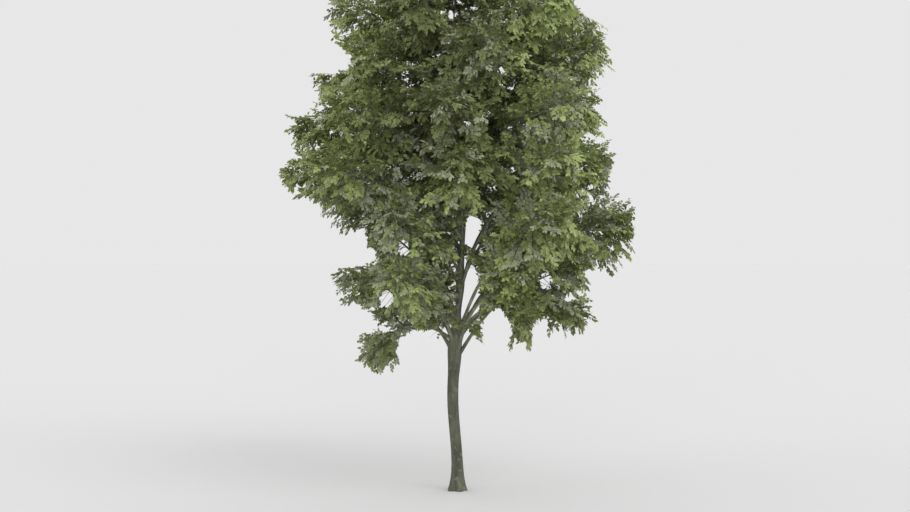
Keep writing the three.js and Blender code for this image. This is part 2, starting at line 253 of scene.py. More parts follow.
LEAF_WIDTH = (0.92, 1.12)
LEAF_ANGLE = math.radians(50)
LEAF_ANGLE_SHARE = (0.7, 1.3)
LEAF_DROOP = 0.32
LEAF_SCATTER = 0.22
LEAF_TWIST = 0.3
WALL_EASE = 0.35
SIDE_EASE = 0.35
BOX_MARGIN = 0.16
DOME_FRAY = (0.84, 1.02)
DOME_SLOPE = 0.5

# One leaf of length 1, folded along its middle: x across, y along, z up
LEAF_SHAPE = np.array(
    [
        (0, 0, 0),
        (-0.24, 0.26, 0.06),
        (-0.27, 0.56, 0.0675),
        (0, 1, 0),
        (0.27, 0.56, 0.0675),
        (0.24, 0.26, 0.06),
    ]
)
LEAF_TIP = 3
LEAF_FACES = np.array([(0, 3, 2, 1), (0, 5, 4, 3)])

# Leaf tones by place, in steps of the list of tones, as painted light and shade: painted shade in the
# crown's dark core, painted light on its sides, its right side and its crest, and painted light on the
# lower crown with its middle, which grows darker towards its hem. Edges are places in metres.
CORE_X = -0.4
CORE_EDGE = (1.0, 3.2)
CORE_PAINTED_SHADE = -0.4
SIDE_PAINTED_LIGHT = 2.4
RIGHT_EDGE = (0.6, 3.0)
RIGHT_PAINTED_LIGHT = 1.7
CREST_EDGE = (15.0, 19.2)
CREST_PAINTED_LIGHT = 1.2
LOW_EDGE = (10.0, 11.3)
LOW_PAINTED_LIGHT = 2.0
HUB_X = -0.6
HUB_WIDTH = 1.5
HUB_PAINTED_LIGHT = 3.0
HEM_EDGE = (5.5, 8.5)
HEM_TONE = 1.8
# Painted light: sprays deep inside a mass are lighter and outer ones darker, against the shade inside
# the crown
DEPTH_PAINTED_LIGHT = -1.2
MEAN_DEPTH = 0.6
PATCH_WAVES = ((1.9, 1.3, 2.3), (-1.1, 2.1, 1.7))
PATCH_PHASES = (0, 0)
PATCH_TONE = 0.5
TONE_SPREAD = 0.85

# Weathered grey leaves: their share in patches, by the height of crossed waves, and low on the left
GREY_WAVES = ((3.1, -2.0, 1.5), (-1.7, 2.6, -2.2))
GREY_PHASES = (1, 2)
GREY_PATCHES = 0.75
GREY_EDGE = (0.2, 0.6)
GREY_LOW = 0.35
GREY_LOW_EDGE = (-1.5, 1.0)

# Camera of the photograph
CAMERA_PLACE = np.array((-0.09, -45.5, 8.424))
CAMERA_LENS = 50
CAMERA_SENSOR = 36
CAMERA_RANGE = 2000

# Where the photo shows sky, as ellipses in the upright plane through the trunk: x, z, half width,
# half height. Branches grow on behind the holes in the crown, and stop at the bites. The first two
# bites are the clear gaps beside the leader, and the others shape the outline.
SKY_HOLES = [
    (0.38, 13.2, 0.18, 0.13),
    (-1.95, 8.7, 0.24, 0.32),
    (3.2, 7.5, 0.24, 0.4),
    (-2.57, 6.88, 0.28, 0.36),
]
SKY_BITES = [
    (0.52, 9.3, 0.24, 0.62),
    (0.46, 7.05, 0.34, 1.1),
    (-4.85, 15.5, 1.0, 0.5),
    (-5.7, 14.05, 0.6, 0.5),
    (-5.9, 16.1, 1.1, 0.9),
    (-6.3, 12.1, 0.3, 0.4),
    (-6.3, 10.6, 0.25, 0.3),
    (-5.75, 10.05, 0.85, 0.45),
    (-5.45, 9.0, 0.95, 0.75),
    (-4.2, 8.25, 0.75, 0.25),
    (-3.46, 8.95, 0.2, 0.5),
    (-3.22, 8.42, 0.29, 0.3),
    (-3.9, 6.1, 0.85, 0.55),
    (5.0, 17.6, 0.75, 0.55),
    (5.95, 11.25, 0.42, 0.55),
    (4.85, 7.74, 0.34, 0.18),
    (1.39, 5.76, 0.5, 0.8),
    (3.0, 5.45, 0.3, 0.65),
    (-1.42, 5.1, 0.75, 0.65),
    (0, 4.8, 1.0, 1.0),
]
SKY_FRAY = 0.5

# Floor and light
FLOOR_HALF = 900.0
FLOOR_TONE = 0.668
FLOOR_ROUGHNESS = 0.9
WORLD_STRENGTH = 0.8
# name, strength, softness, degrees down from overhead, degrees round from the front to the right
SUNS = [
    ("key", 0.7, 40, 50, 42),
    ("fill_front", 1.2, 45, 82, -4),
    ("fill_right", 0.5, 60, 78, 75),
    ("fill_left", 0.5, 60, 78, -80),
    ("fill_back_left", 0.6, 60, 75, -140),
    ("fill_back_right", 0.6, 60, 75, 140),
]

# Pieces of foliage and the tiers in each
GROUPS = {
    "leaves_skirt": ("skirt", "low"),
    "leaves_flank": ("flank",),
    "leaves_middle": ("middle",),
    "leaves_broad": ("broad",),
    "leaves_upper": ("upper",),
    "leaves_high": ("high",),
    "leaves_top": ("top",),
}


def lerp(a, b, t):
    return a + (b - a) * t


def smoothstep(x, low, high):
    t = np.clip((x - low) / (high - low), 0, 1)
    return t * t * (3 - 2 * t)


def unit(v):
    return v / np.maximum(np.linalg.norm(v, axis=-1, keepdims=True), LEAST_LENGTH)


def dot(a, b):
    return np.sum(a * b, axis=-1, keepdims=True)


def half_turned(angle):
    """The same angle, brought to within half a turn of 0."""
    return np.mod(angle + np.pi, TURN) - np.pi


def length_along(path):
    """How far along a path each of its points is."""
    return np.cumsum(np.linalg.norm(np.diff(path, axis=0, prepend=path[:1]), axis=1))


# Trunk and limbs as the source has them


def trunk_axis(height):
    height = np.asarray(height, float)
    leaning = smoothstep(height, 0, LEAN_START_HEIGHT)
    return np.stack(
        [
            -LEAN_SIDEWAYS * leaning * np.sin(TURN * height / LEAN_SIDEWAYS_PERIOD),
            LEAN_BACK * np.sin(TURN * height / LEAN_BACK_PERIOD),
            height,
        ],
        axis=-1,
    )


def trunk_radius(height, bearing):
    bole = lerp(BOLE_RADIUS, BOLE_TOP_RADIUS, height / FORK_HEIGHT)
    leader = lerp(
        LEADER_RADIUS, LEADER_TIP_RADIUS, (height - FORK_HEIGHT) / (TRUNK_TIP - FORK_HEIGHT)
    )
    thinned = smoothstep(height, FORK_HEIGHT, FORK_HEIGHT + FORK_LENGTH)
    lobes = 1 + ROOT_LOBE_SHARE * np.cos(ROOT_LOBES * bearing)
    return lerp(bole, leader, thinned) + ROOT_FLARE * lobes * np.exp(-height / ROOT_FLARE_HEIGHT)


def slanted(out, angle):
    return out * math.cos(angle) + UP * math.sin(angle)


def bezier(points, t):
    t = np.asarray(t, float)[..., None]
    a, b, c, d = points
    return a * (1 - t) ** 3 + 3 * b * t * (1 - t) ** 2 + 3 * c * t**2 * (1 - t) + d * t**3


def bezier_tangent(points, t):
    t = np.asarray(t, float)[..., None]
    a, b, c, d = points
    return unit((b - a) * (1 - t) ** 2 + 2 * (c - b) * t * (1 - t) + (d - c) * t**2)


class Mass:
    """One mass of foliage: its space, and the limb that carries it."""

    def __init__(self, label, tier, centre, out, wide, tall, butt, has_bough):
        self.label, self.tier = label, tier
        self.centre, self.out = centre, out
        self.across = np.cross(UP, out)
        self.wide, self.butt = wide, butt
        self.has_bough = has_bough
        self.size = np.array((wide, wide, tall))
        self.walls = (np.zeros((0, 3)), np.zeros(0))

    def distance_to_edge(self, points, ways):
        """How far points are from the edge of the mass's space, or a neighbour's, along their ways."""
        offset = points - self.centre
        axes = np.stack([self.out, self.across, UP], axis=1)
        size = self.size + np.array((0, SIDE_EASE, 0))
        start, way = offset @ axes / size, ways @ axes / size
        a, b, c = dot(way, way), dot(start, way), dot(start, start) - 1
        room = np.where(c > 0, 0, (np.sqrt(np.maximum(b * b - a * c, 0)) - b) / a)[..., 0]
        normals, distances = self.walls
        if len(normals):
            facing = ways @ normals.T
            left = np.maximum(distances - offset @ normals.T, 0)
            walls = np.where(facing > TINY, left / np.maximum(facing, TINY), np.inf)
            room = np.minimum(room, walls.min(axis=-1))
        return room

    def find_entry(self):
        """Sets the share of the limb's curve at which it enters the mass."""
        t = np.linspace(0, 1, ENTRY_STEPS)
        depth = np.linalg.norm((bezier(self.curve, t) - self.centre) / self.size, axis=-1)
        self.entry = float(t[np.argmax(depth < MASS_ENTRY)])


def tier_masses(name, fork, butt, arch, boughs, wide, tall, left, right, bearings):
    """The masses of one row of TIERS."""
    masses = []
    for i, degrees in enumerate(bearings):
        bearing = math.radians(degrees)
        out = np.array((math.cos(bearing), math.sin(bearing), 0.0))
        rightness = (1 + math.cos(bearing)) / 2
        reach, height = lerp(np.array(left), np.array(right), rightness)
        centre = out * (reach - wide) + UP * height
        label = f"{name}_{SIDES[round(degrees / SIDE_DEGREES) % len(SIDES)]}"
        mass = Mass(label, name, centre, out, wide, tall, butt, boughs)
        base = trunk_axis(fork + (i * FORK_STRIDE) % len(bearings) * FORK_STEP)
        chord = centre - base
        slope = math.atan2(chord[2], math.hypot(chord[0], chord[1]))
        length = np.linalg.norm(chord)
        landing = slanted(out, slope + arch * LANDING)
        end = STEM_END * mass.distance_to_edge(centre[None], landing[None])[0]
        mass.curve = np.array(
            [
                base,
                base + slanted(out, slope + arch * LAUNCH) * LAUNCH_SHARE * length,
                centre - landing * LANDING_SHARE * length,
                centre + landing * end,
            ]
        )
        mass.find_entry()
        masses.append(mass)
    return masses


def top_mass():
    """The mass that ends the leader, with an upright stem."""
    base = trunk_axis(TRUNK_TIP)
    centre = np.array((base[0], base[1], TOP_HEIGHT))
    top = Mass("top", "top", centre, RIGHT, TOP_WIDE, TOP_TALL, LEADER_TIP_RADIUS, False)
    top.curve = np.linspace(base - UP * TOP_STEM_SUNK, centre + UP * STEM_END * TOP_TALL, 4)
    top.entry = 0.0
    return top


def make_masses():
    """All masses, each with its walls towards the others and the waves of its limb."""
    masses = [mass for tier in TIERS for mass in tier_masses(*tier)] + [top_mass()]
    random = np.random.default_rng(SEED)
    fewest, most = LIMB_WAVE_COUNT
    for number, mass in enumerate(masses):
        others = [m for m in masses if m is not mass]
        apart = np.array([m.centre - mass.centre for m in others])
        gap = np.linalg.norm(apart, axis=1)
        widths = np.array([m.wide for m in others])
        share = (gap**2 + mass.wide**2 - widths**2) / (2 * gap**2)
        mass.walls = (apart / gap[:, None], share * gap + WALL_EASE)
        mass.waves = random.uniform((0, fewest), (TURN, most), (2, 2))
        mass.number = number
    return masses


# Meshes from arrays


def skin(rings, tips):
    """Triangles of closed tubes, from rings of (tube, step, side, xyz) and a point at each end."""
    count, steps, sides = rings.shape[:3]
    size = steps * sides + 1
    vertices = np.concatenate([rings.reshape(count, -1, 3), tips[:, None]], axis=1)
    here = np.arange(sides)
    ahead = (here + 1) % sides
    row = np.arange(steps - 1)[:, None] * sides
    low, low_next = row + here, row + ahead
    high, high_next = low + sides, low_next + sides
    last = (steps - 1) * sides
    one = np.concatenate(
        [
            np.stack([low, low_next, high_next], -1).reshape(-1, 3),
            np.stack([low, high_next, high], -1).reshape(-1, 3),
            np.stack([last + here, last + ahead, np.full(sides, size - 1)], -1),
            np.stack([np.zeros(sides - 2, int), here[2:], here[1:-1]], -1),
        ]
    )
    faces = np.arange(count)[:, None, None] * size + one
    return vertices.reshape(-1, 3), faces.reshape(-1, 3)


def tubes(paths, radii, sides):
    """Tubes along paths of (tube, point, xyz), which end in their last points."""
    tangent = unit(np.gradient(paths, axis=1))[:, :-1]
    mean = unit(paths[:, -1] - paths[:, 0])
    spare = np.where(np.abs(mean[:, 2:]) > NEAR_UPRIGHT, RIGHT, UP)
    side = np.cross(mean, spare)[:, None]
    normal = unit(side - dot(side, tangent) * tangent)
    binormal = np.cross(tangent, normal)
    angle = (TURN * np.arange(sides) / sides)[:, None]
    ring = np.cos(angle) * normal[:, :, None] + np.sin(angle) * binormal[:, :, None]
    return skin(paths[:, :-1, None] + radii[..., None] * ring, paths[:, -1])


def joined(parts):
    """One list of vertices and faces from several."""
    starts = np.cumsum([0] + [len(vertices) for vertices, _ in parts])
    vertices = np.concatenate([vertices for vertices, _ in parts])
    return vertices, np.concatenate([faces + start for (_, faces), start in zip(parts, starts)])


def mesh_object(name, vertices, faces, materials, tones=None, smooth=True):
    mesh = bpy.data.meshes.new(name)
    corners = faces.shape[1]
    mesh.vertices.add(len(vertices))
    mesh.vertices.foreach_set("co", vertices.astype(np.float32).ravel())
    mesh.loops.add(faces.size)
    mesh.loops.foreach_set("vertex_index", faces.astype(np.int32).ravel())
    mesh.polygons.add(len(faces))
    mesh.polygons.foreach_set("loop_start", np.arange(0, faces.size, corners, dtype=np.int32))
    mesh.polygons.foreach_set("use_smooth", np.broadcast_to(smooth, len(faces)))
    for material in materials:
        mesh.materials.append(material)
    if tones is not None:
        mesh.polygons.foreach_set("material_index", tones.astype(np.int32))
    mesh.update(calc_edges=True)
    obj = bpy.data.objects.new(name, mesh)
    bpy.context.scene.collection.objects.link(obj)
    return obj


# Materials


def new_material(name):
    material = bpy.data.materials.new(name)
    material.use_nodes = True
    return material, material.node_tree, material.node_tree.nodes["Principled BSDF"]


def leaf_material(name, colour, roughness):
    material, _, shader = new_material(name)
    shader.inputs["Base Color"].default_value = (*colour, 1)
    shader.inputs["Roughness"].default_value = roughness
    shader.inputs["Specular IOR Level"].default_value = LEAF_SPECULAR
    return material


def bark_material(name):
    """Smooth grey bark with lenticels, lichen and moss, darker on the bole than on the boughs, where
    it is paler as painted light against the crown's shade.
    """
    material, tree, shader = new_material(name)
    nodes, links = tree.nodes, tree.links
    coords = nodes.new("ShaderNodeTexCoord")

    def noise(scale, stretch, detail, rough):
        mapping = nodes.new("ShaderNodeMapping")
        mapping.inputs["Scale"].default_value = stretch
        texture = nodes.new("ShaderNodeTexNoise")
        texture.inputs["Scale"].default_value = scale
        texture.inputs["Detail"].default_value = detail
        texture.inputs["Roughness"].default_value = rough
        links.new(coords.outputs["Object"], mapping.inputs["Vector"])
        links.new(mapping.outputs["Vector"], texture.inputs["Vector"])
        return texture.outputs["Fac"]

    def ramp(value, stops):
        node = nodes.new("ShaderNodeValToRGB")
        elements = node.color_ramp.elements
        while len(elements) < len(stops):
            elements.new(0.5)
        for element, (place, colour) in zip(elements, stops):
            element.position = place
            element.color = (*colour, 1)
        links.new(value, node.inputs["Fac"])
        return node.outputs["Color"]

    def mix(kind, factor, a, b):
        node = nodes.new("ShaderNodeMix")
        node.data_type = "RGBA"
        node.blend_type = kind
        if isinstance(factor, float):
            node.inputs["Factor"].default_value = factor
        else:
            links.new(factor, node.inputs["Factor"])
        # The sockets of a colour mix share their names with other kinds, so they go by number
        for value, place in ((a, 6), (b, 7)):
            if isinstance(value, tuple):
                node.inputs[place].default_value = (*value, 1)
            else:
                links.new(value, node.inputs[place])
        return node.outputs[2]

    def tone(share, tint):
        return tuple(share * BARK_LIGHT * c for c in tint)

    stops = [(place, tone(share, BARK_TINT)) for place, share in BARK_RAMP]
    grey = ramp(noise(*BARK_NOISE), stops)
    streaks = ramp(noise(*STREAK_NOISE), STREAK_RAMP)
    lenticels = ramp(noise(*LENTICEL_NOISE), LENTICEL_RAMP)
    lichen = ramp(noise(*LICHEN_NOISE), LICHEN_RAMP)
    moss = ramp(noise(*MOSS_NOISE), MOSS_RAMP)
    colour = mix("MULTIPLY", STREAK_SHARE, grey, streaks)
    colour = mix("MULTIPLY", LENTICEL_SHARE, colour, lenticels)
    colour = mix("MIX", lichen, colour, tone(LICHEN_LIGHT, LICHEN_TINT))
    colour = mix("MIX", moss, colour, tone(MOSS_LIGHT, MOSS_TINT))
    # Painted light: the bark pales with height into the crown, against the shade the crown casts on
    # the boughs and leader
    height = nodes.new("ShaderNodeSeparateXYZ")
    links.new(coords.outputs["Object"], height.inputs["Vector"])
    rise = nodes.new("ShaderNodeMapRange")
    rise.interpolation_type = "SMOOTHSTEP"
    rise.inputs["From Min"].default_value = PAINTED_LIGHT_START
    rise.inputs["From Max"].default_value = PAINTED_LIGHT_FULL
    links.new(height.outputs["Z"], rise.inputs["Value"])
    painted_light = (BOUGH_PAINTED_LIGHT / BARK_LIGHT,) * 3
    colour = mix("MULTIPLY", rise.outputs["Result"], colour, painted_light)
    links.new(colour, shader.inputs["Base Color"])
    rough = nodes.new("ShaderNodeMapRange")
    rough.inputs["To Min"].default_value, rough.inputs["To Max"].default_value = BARK_ROUGHNESS
    links.new(noise(*ROUGH_NOISE), rough.inputs["Value"])
    links.new(rough.outputs["Result"], shader.inputs["Roughness"])
    bump = nodes.new("ShaderNodeBump")
    bump.inputs["Strength"].default_value = BUMP_STRENGTH
    bump.inputs["Distance"].default_value = BUMP_DISTANCE
    links.new(noise(*BUMP_NOISE), bump.inputs["Height"])
    links.new(bump.outputs["Normal"], shader.inputs["Normal"])
    shader.inputs["Specular IOR Level"].default_value = BARK_SPECULAR
    return material


BARK = bark_material("beech_bark")
TWIG = leaf_material("beech_twig", (0.135, 0.125, 0.105), 0.75)
# Leaf tones from dark to pale, and a grey. Sprays get them partly at random and partly by place, as
# painted light and shade.
LEAF_TONES = [
    leaf_material("leaf_deep", (0.136, 0.160, 0.056), 0.55),
    leaf_material("leaf_olive", (0.186, 0.224, 0.078), 0.55),
    leaf_material("leaf_mid", (0.234, 0.285, 0.098), 0.52),
    leaf_material("leaf_fresh", (0.274, 0.324, 0.120), 0.54),
    leaf_material("leaf_light", (0.320, 0.382, 0.140), 0.5),
    leaf_material("leaf_pale", (0.383, 0.449, 0.184), 0.5),
    leaf_material("leaf_grey", (0.266, 0.292, 0.184), 0.6),
]
GREY_TONE = len(LEAF_TONES) - 1


# Trunk and limbs


def relief(bearing, height, waves, seed):
    """A seeded sum of waves round and along a stem, periodic round it."""
    random = np.random.default_rng(seed)
    total = np.zeros(np.broadcast(bearing, height).shape)
    for around, along, strength in waves:
        for _ in range(WAVES_EACH):
            k = random.integers(max(0, around - WAVE_SPREAD), around + WAVE_SPREAD + 1)
            w = along * random.uniform(*WAVE_STRETCH) * random.choice((-1, 1))
            phase = random.uniform(0, WAVE_PHASE)
            total = total + strength * np.sin(k * bearing + w * height + phase)
    return total


def limb_radius(mass, t):
    entry = max(mass.entry, TINY)
    stem = min(STEM_RADIUS, mass.butt)
    bough = lerp(mass.butt, stem, np.clip(t / entry, 0, 1))
    tip = lerp(stem, STEM_TIP_RADIUS, np.clip((t - mass.entry) / (1 - mass.entry), 0, 1))
    return np.where(t < mass.entry, bough, tip)


def limb_path(mass, t):
    """The limb's curve, with the slight waves of a grown limb between its fixed ends."""
    points = bezier(mass.curve, t)
    swing = np.sin(np.pi * np.clip(t, 0, 1))
    upper = np.cross(mass.across, bezier_tangent(mass.curve, t))
    for direction, size, (phase, waves) in zip((mass.across, upper), LIMB_WAVE_SIZES, mass.waves):
        points = points + (size * swing * np.sin(waves * np.pi * t + phase))[:, None] * direction
    return points


def limb_mesh(mass, steps, sides):
    """The limb, with a collar where it leaves the trunk and relief in its bark."""
    t = np.linspace(0, 1, steps)
    path = limb_path(mass, t)
    radius = limb_radius(mass, t)[:-1, None]
    length = length_along(path)[:-1, None]
    bearing = TURN * np.arange(sides) / sides
    collar = 1 + COLLAR_SHARE * np.exp(-np.maximum(length - COLLAR_START, 0) / COLLAR_LENGTH)
    bark = relief(bearing, length, LIMB_RELIEF, LIMB_SEED + mass.number)
    return tubes(path[None], (radius * collar * (1 + bark))[None], sides)


def limb_swelling(height, bearing):
    """How far the trunk swells below and above each limb that leaves it."""
    total = np.zeros(height.shape)
    t = np.linspace(0, SWELL_PART, SWELL_STEPS)
    for mass in masses:
        if mass.tier == "top":
            continue
        path = limb_path(mass, t)
        aside = np.linalg.norm((path - trunk_axis(path[:, 2]))[:, :2], axis=1)
        free = aside + limb_radius(mass, t) > trunk_radius(path[:, 2], 0)
        leaves_at = path[np.argmax(free), 2]
        turn = bearing - math.atan2(mass.out[1], mass.out[0])
        gap = half_turned(turn) * trunk_radius(leaves_at, 0)
        along = smoothstep(height, leaves_at - SWELL_BELOW, leaves_at)
        along = along * (1 - smoothstep(height, leaves_at, leaves_at + SWELL_ABOVE))
        across = np.exp(-((gap / (SWELL_WIDTH * mass.butt)) ** 2))
        total += SWELL_SHARE * mass.butt * along * across
    return total


def scarred(radius, height, bearing):
    """The trunk's radius with the scars of shed branches."""
    random = np.random.default_rng(SCAR_SEED)
    for _ in range(SCARS):
        where, turn = random.uniform(*SCAR_HEIGHT), random.uniform(0, TURN)
        wide, tall = random.uniform(*SCAR_WIDE), random.uniform(*SCAR_TALL)
        aside = half_turned(bearing - turn) * BOLE_RADIUS
        rise = (height - where + RIDGE_ARCH * aside**2 / wide) / (RIDGE_SHARE * tall)
        sunk = (height - where + HOLLOW_SUNK) / (HOLLOW_SHARE * tall)
        radius = radius + RIDGE_SIZE * np.exp(-((aside / wide) ** 2) - rise**2)
        radius = radius - HOLLOW_SIZE * np.exp(-((aside / (HOLLOW_SHARE * wide)) ** 2) - sunk**2)
    return radius


def trunk_mesh():
    """Vertices and faces of the trunk, and which faces are smooth: all but the flat cut."""
    heights = np.unique(np.concatenate([np.linspace(*stretch) for stretch in TRUNK_RINGS]))
    bearing = TURN * np.arange(TRUNK_SIDES) / TRUNK_SIDES
    height, bearing = np.meshgrid(heights, bearing, indexing="ij")
    radius = trunk_radius(height, bearing)
    share = radius / BOLE_RADIUS
    flutes = relief(bearing, height, FLUTES, FLUTE_SEED)
    wrinkles = relief(bearing, height, WRINKLES, WRINKLE_SEED)
    radius = scarred(radius + share * (flutes + wrinkles), height, bearing)
    radius = radius + limb_swelling(height, bearing)
    ring = np.stack([np.cos(bearing), np.sin(bearing), np.zeros_like(bearing)], axis=-1)
    rings = trunk_axis(height) + radius[..., None] * ring
    inside_cut = trunk_axis(0) + CUT_RING_RADIUS * ring[:1]
    rings = np.concatenate([inside_cut, rings])
    vertices, faces = skin(rings[None], trunk_axis(TRUNK_TIP)[None])
    smooth = vertices[faces, 2].max(axis=1) > 0
    return vertices, faces, smooth


# Twigs and leaves


def golden_ways(mass, tangent, spread, random):
    """Ways of branches turned by the golden angle from one to the next along a limb."""
    count = len(tangent)
    upper = np.cross(mass.across, tangent)
    roll = (np.arange(count) * GOLDEN_ANGLE + random.random(count))[:, None]
    aside = mass.across * np.cos(roll) + upper * np.sin(roll)
    spread = np.radians(spread)[:, None]
    return unit(tangent * np.cos(spread) + aside * np.sin(spread) - UP * BRANCH_DROOP)


def fill(mass):
    """How many times the usual branches a mass has."""
    return FILL.get(mass.label, FILL.get(mass.tier, 1))


def stem_branches(mass, random):
    """The branches that fill a mass's space from its stem: starts, ways and lengths."""
    count = round(fill(mass) * BRANCHES * (mass.wide / USUAL_WIDE) ** FILL_POWER)
    i = np.arange(count)
    place = i + BRANCH_PLACE + BRANCH_PLACE_SPREAD * random.random(count)
    at = lerp(mass.entry, 1, place / count)
    start = limb_path(mass, at)
    spread = lerp(*BRANCH_SPREAD, i / count)
    way = golden_ways(mass, bezier_tangent(mass.curve, at), spread, random)
    inside = mass.centre + BRANCH_INSET * (start - mass.centre)
    reach = random.uniform(*BRANCH_REACH, count)
    if mass.tier == "top":
        reach = reach + TOP_FOOT_REACH * (1 - i / count)
    return start, way, mass.distance_to_edge(inside, way) * reach


def inner_branches(mass, random):
    """Shorter branches on the limb between the trunk and the mass, or on the leader."""
    if mass.tier == "top":
        count = round((TRUNK_TIP - LEADER_START) / LEADER_SPACING)
        share = (np.arange(count) + random.random(count)) / count
        at = lerp(LEADER_START, LEADER_END, share**LEADER_SKEW)
        start, tangent = trunk_axis(at), np.tile(UP, (count, 1))
        length = random.uniform(*LEADER_REACH, count)
    else:
        t = np.linspace(0, mass.entry, INNER_STEPS)
        along = length_along(bezier(mass.curve, t))
        count = max(0, round(fill(mass) * (along[-1] - INNER_START) / INNER_SPACING))
        share = (np.arange(count) + random.random(count)) / max(count, 1)
        at = np.interp(lerp(INNER_START, along[-1], share), along, t)
        start, tangent = limb_path(mass, at), bezier_tangent(mass.curve, at)
        length = random.uniform(*INNER_REACH, count)
    way = golden_ways(mass, tangent, np.full(count, INNER_SPREAD), random)
    return start, way, length


def branch_paths(start, way, length):
    s = np.linspace(0, 1, BRANCH_STEPS)[None, :, None]
    sag = BRANCH_SAG * length[:, None, None] * (s**2) * (1 - np.abs(way[:, None, 2:]))
    return start[:, None] + way[:, None] * length[:, None, None] * s - UP * sag


def grow_shoots(path, length, random):
    """Leafy shoots to the left and right of one branch, and one at its end."""
    count = max(LEAST_SHOOTS, round(length / SHOOT_SPACING)) + 1
    f = lerp(*SHOOT_PLACE, (np.arange(count) + random.random(count)) / count)
    f[-1] = 1
    at = f * (len(path) - 1)
    low = np.minimum(at.astype(int), len(path) - 2)
    start = path[low] + (path[low + 1] - path[low]) * (at - low)[:, None]
    tangent = unit(path[low + 1] - path[low])
    flat = unit(np.cross(tangent, UP))
    tilt = random.uniform(-SHOOT_TILT, SHOOT_TILT, count)
    tilt = np.radians(tilt + random.uniform(-BRANCH_TILT, BRANCH_TILT))[:, None]
    aside = flat * np.cos(tilt) + np.cross(flat, tangent) * np.sin(tilt)
    turn = np.where(np.arange(count) % 2, 1.0, -1.0)[:, None] * aside
    angle = (SHOOT_ANGLE * random.uniform(*SHOOT_ANGLE_SHARE, count))[:, None]
    angle[-1] = END_ANGLE
    way = unit(tangent * np.cos(angle) + turn * np.sin(angle) - UP * SHOOT_DROOP)
    size = random.uniform(*SHOOT_LENGTH, count) * lerp(1.0, SHOOT_END_SHARE, f)
    return start, way, size, np.cross(way, turn)


def in_open_sky(points, gaps, fray=0.0):
    """Whether points stand where the photo shows sky, as its camera sees them."""
    offset = points - CAMERA_PLACE
    seen = CAMERA_PLACE + offset * (-CAMERA_PLACE[1] / offset[..., 1:2])
    gaps = np.array(gaps)
    across = (seen[..., :1] - gaps[:, 0]) / gaps[:, 2]
    up = (seen[..., 2:] - gaps[:, 1]) / gaps[:, 3]
    return (across**2 + up**2).min(axis=-1) < 1 + fray


def share_under_leaf(paths):
    """How much of each branch grows before it would enter a bite of open sky."""
    bare = in_open_sky(paths, SKY_BITES)
    first = np.where(bare.any(axis=1), bare.argmax(axis=1), paths.shape[1])
    return np.clip(first / (paths.shape[1] - 1), 0, 1)


def in_reach(points, mass, random):
    """Whether points stay near the box of the solids, and those of the top mass near its dome."""
    low, high = (np.array(corner) for corner in cad_box)
    near_box = ((points > low - BOX_MARGIN) & (points < high + BOX_MARGIN)).all(axis=1)
    if mass.tier != "top":
        return near_box
    offset = (points - mass.centre) / (mass.size + BOX_MARGIN)
    edge = random.uniform(*DOME_FRAY, len(points))
    aside = np.linalg.norm(offset[:, :2], axis=1)
    under_dome = np.linalg.norm(offset, axis=1) < edge
    under_dome = under_dome & (offset[:, 2] < edge - DOME_SLOPE * aside)
    return near_box & (under_dome | (offset[:, 2] < 0))


def crossed_waves(points, waves, phases):
    """A pattern of patches in space, between -1 and 1."""
    first, second = (np.sin(points @ wave + phase) for wave, phase in zip(waves, phases))
    return first * second


def spray_tones(start, mass, random):
    """Tone of each spray: a seeded mix, with painted shade dark in the crown's core and painted light
    aside, low down and deep in a mass.
    """
    x, z = start[:, 0], start[:, 2]
    # Painted shade in the crown's core, painted light on its sides, its right side and its crest
    high = CORE_PAINTED_SHADE + SIDE_PAINTED_LIGHT * smoothstep(np.abs(x - CORE_X), *CORE_EDGE)
    high = high + RIGHT_PAINTED_LIGHT * smoothstep(x, *RIGHT_EDGE) + CREST_PAINTED_LIGHT * smoothstep(z, *CREST_EDGE)
    # Painted light on the lower crown and its middle, darker towards its hem
    low = LOW_PAINTED_LIGHT + HUB_PAINTED_LIGHT * np.exp(-(((x - HUB_X) / HUB_WIDTH) ** 2))
    low = low - HEM_TONE * (1 - smoothstep(z, *HEM_EDGE))
    lowness = 1 - smoothstep(z, *LOW_EDGE)
    # Painted light on the sprays deep inside their mass, against the shade there
    depth = np.minimum(np.linalg.norm((start - mass.centre) / mass.size, axis=1), 1)
    patch = crossed_waves(start, PATCH_WAVES, PATCH_PHASES)
    level = lerp(high, low, lowness) + DEPTH_PAINTED_LIGHT * (depth - MEAN_DEPTH) + PATCH_TONE * patch
    level = np.round(level + random.normal(0, TONE_SPREAD, len(start)))
    weathered = crossed_waves(start, GREY_WAVES, GREY_PHASES)
    grey_share = GREY_PATCHES * smoothstep(weathered, *GREY_EDGE)
    grey_share = grey_share + GREY_LOW * lowness * smoothstep(-x, *GREY_LOW_EDGE)
    is_grey = random.random(len(start)) < grey_share
    return np.where(is_grey, GREY_TONE, np.clip(level, 0, GREY_TONE - 1)).astype(int)


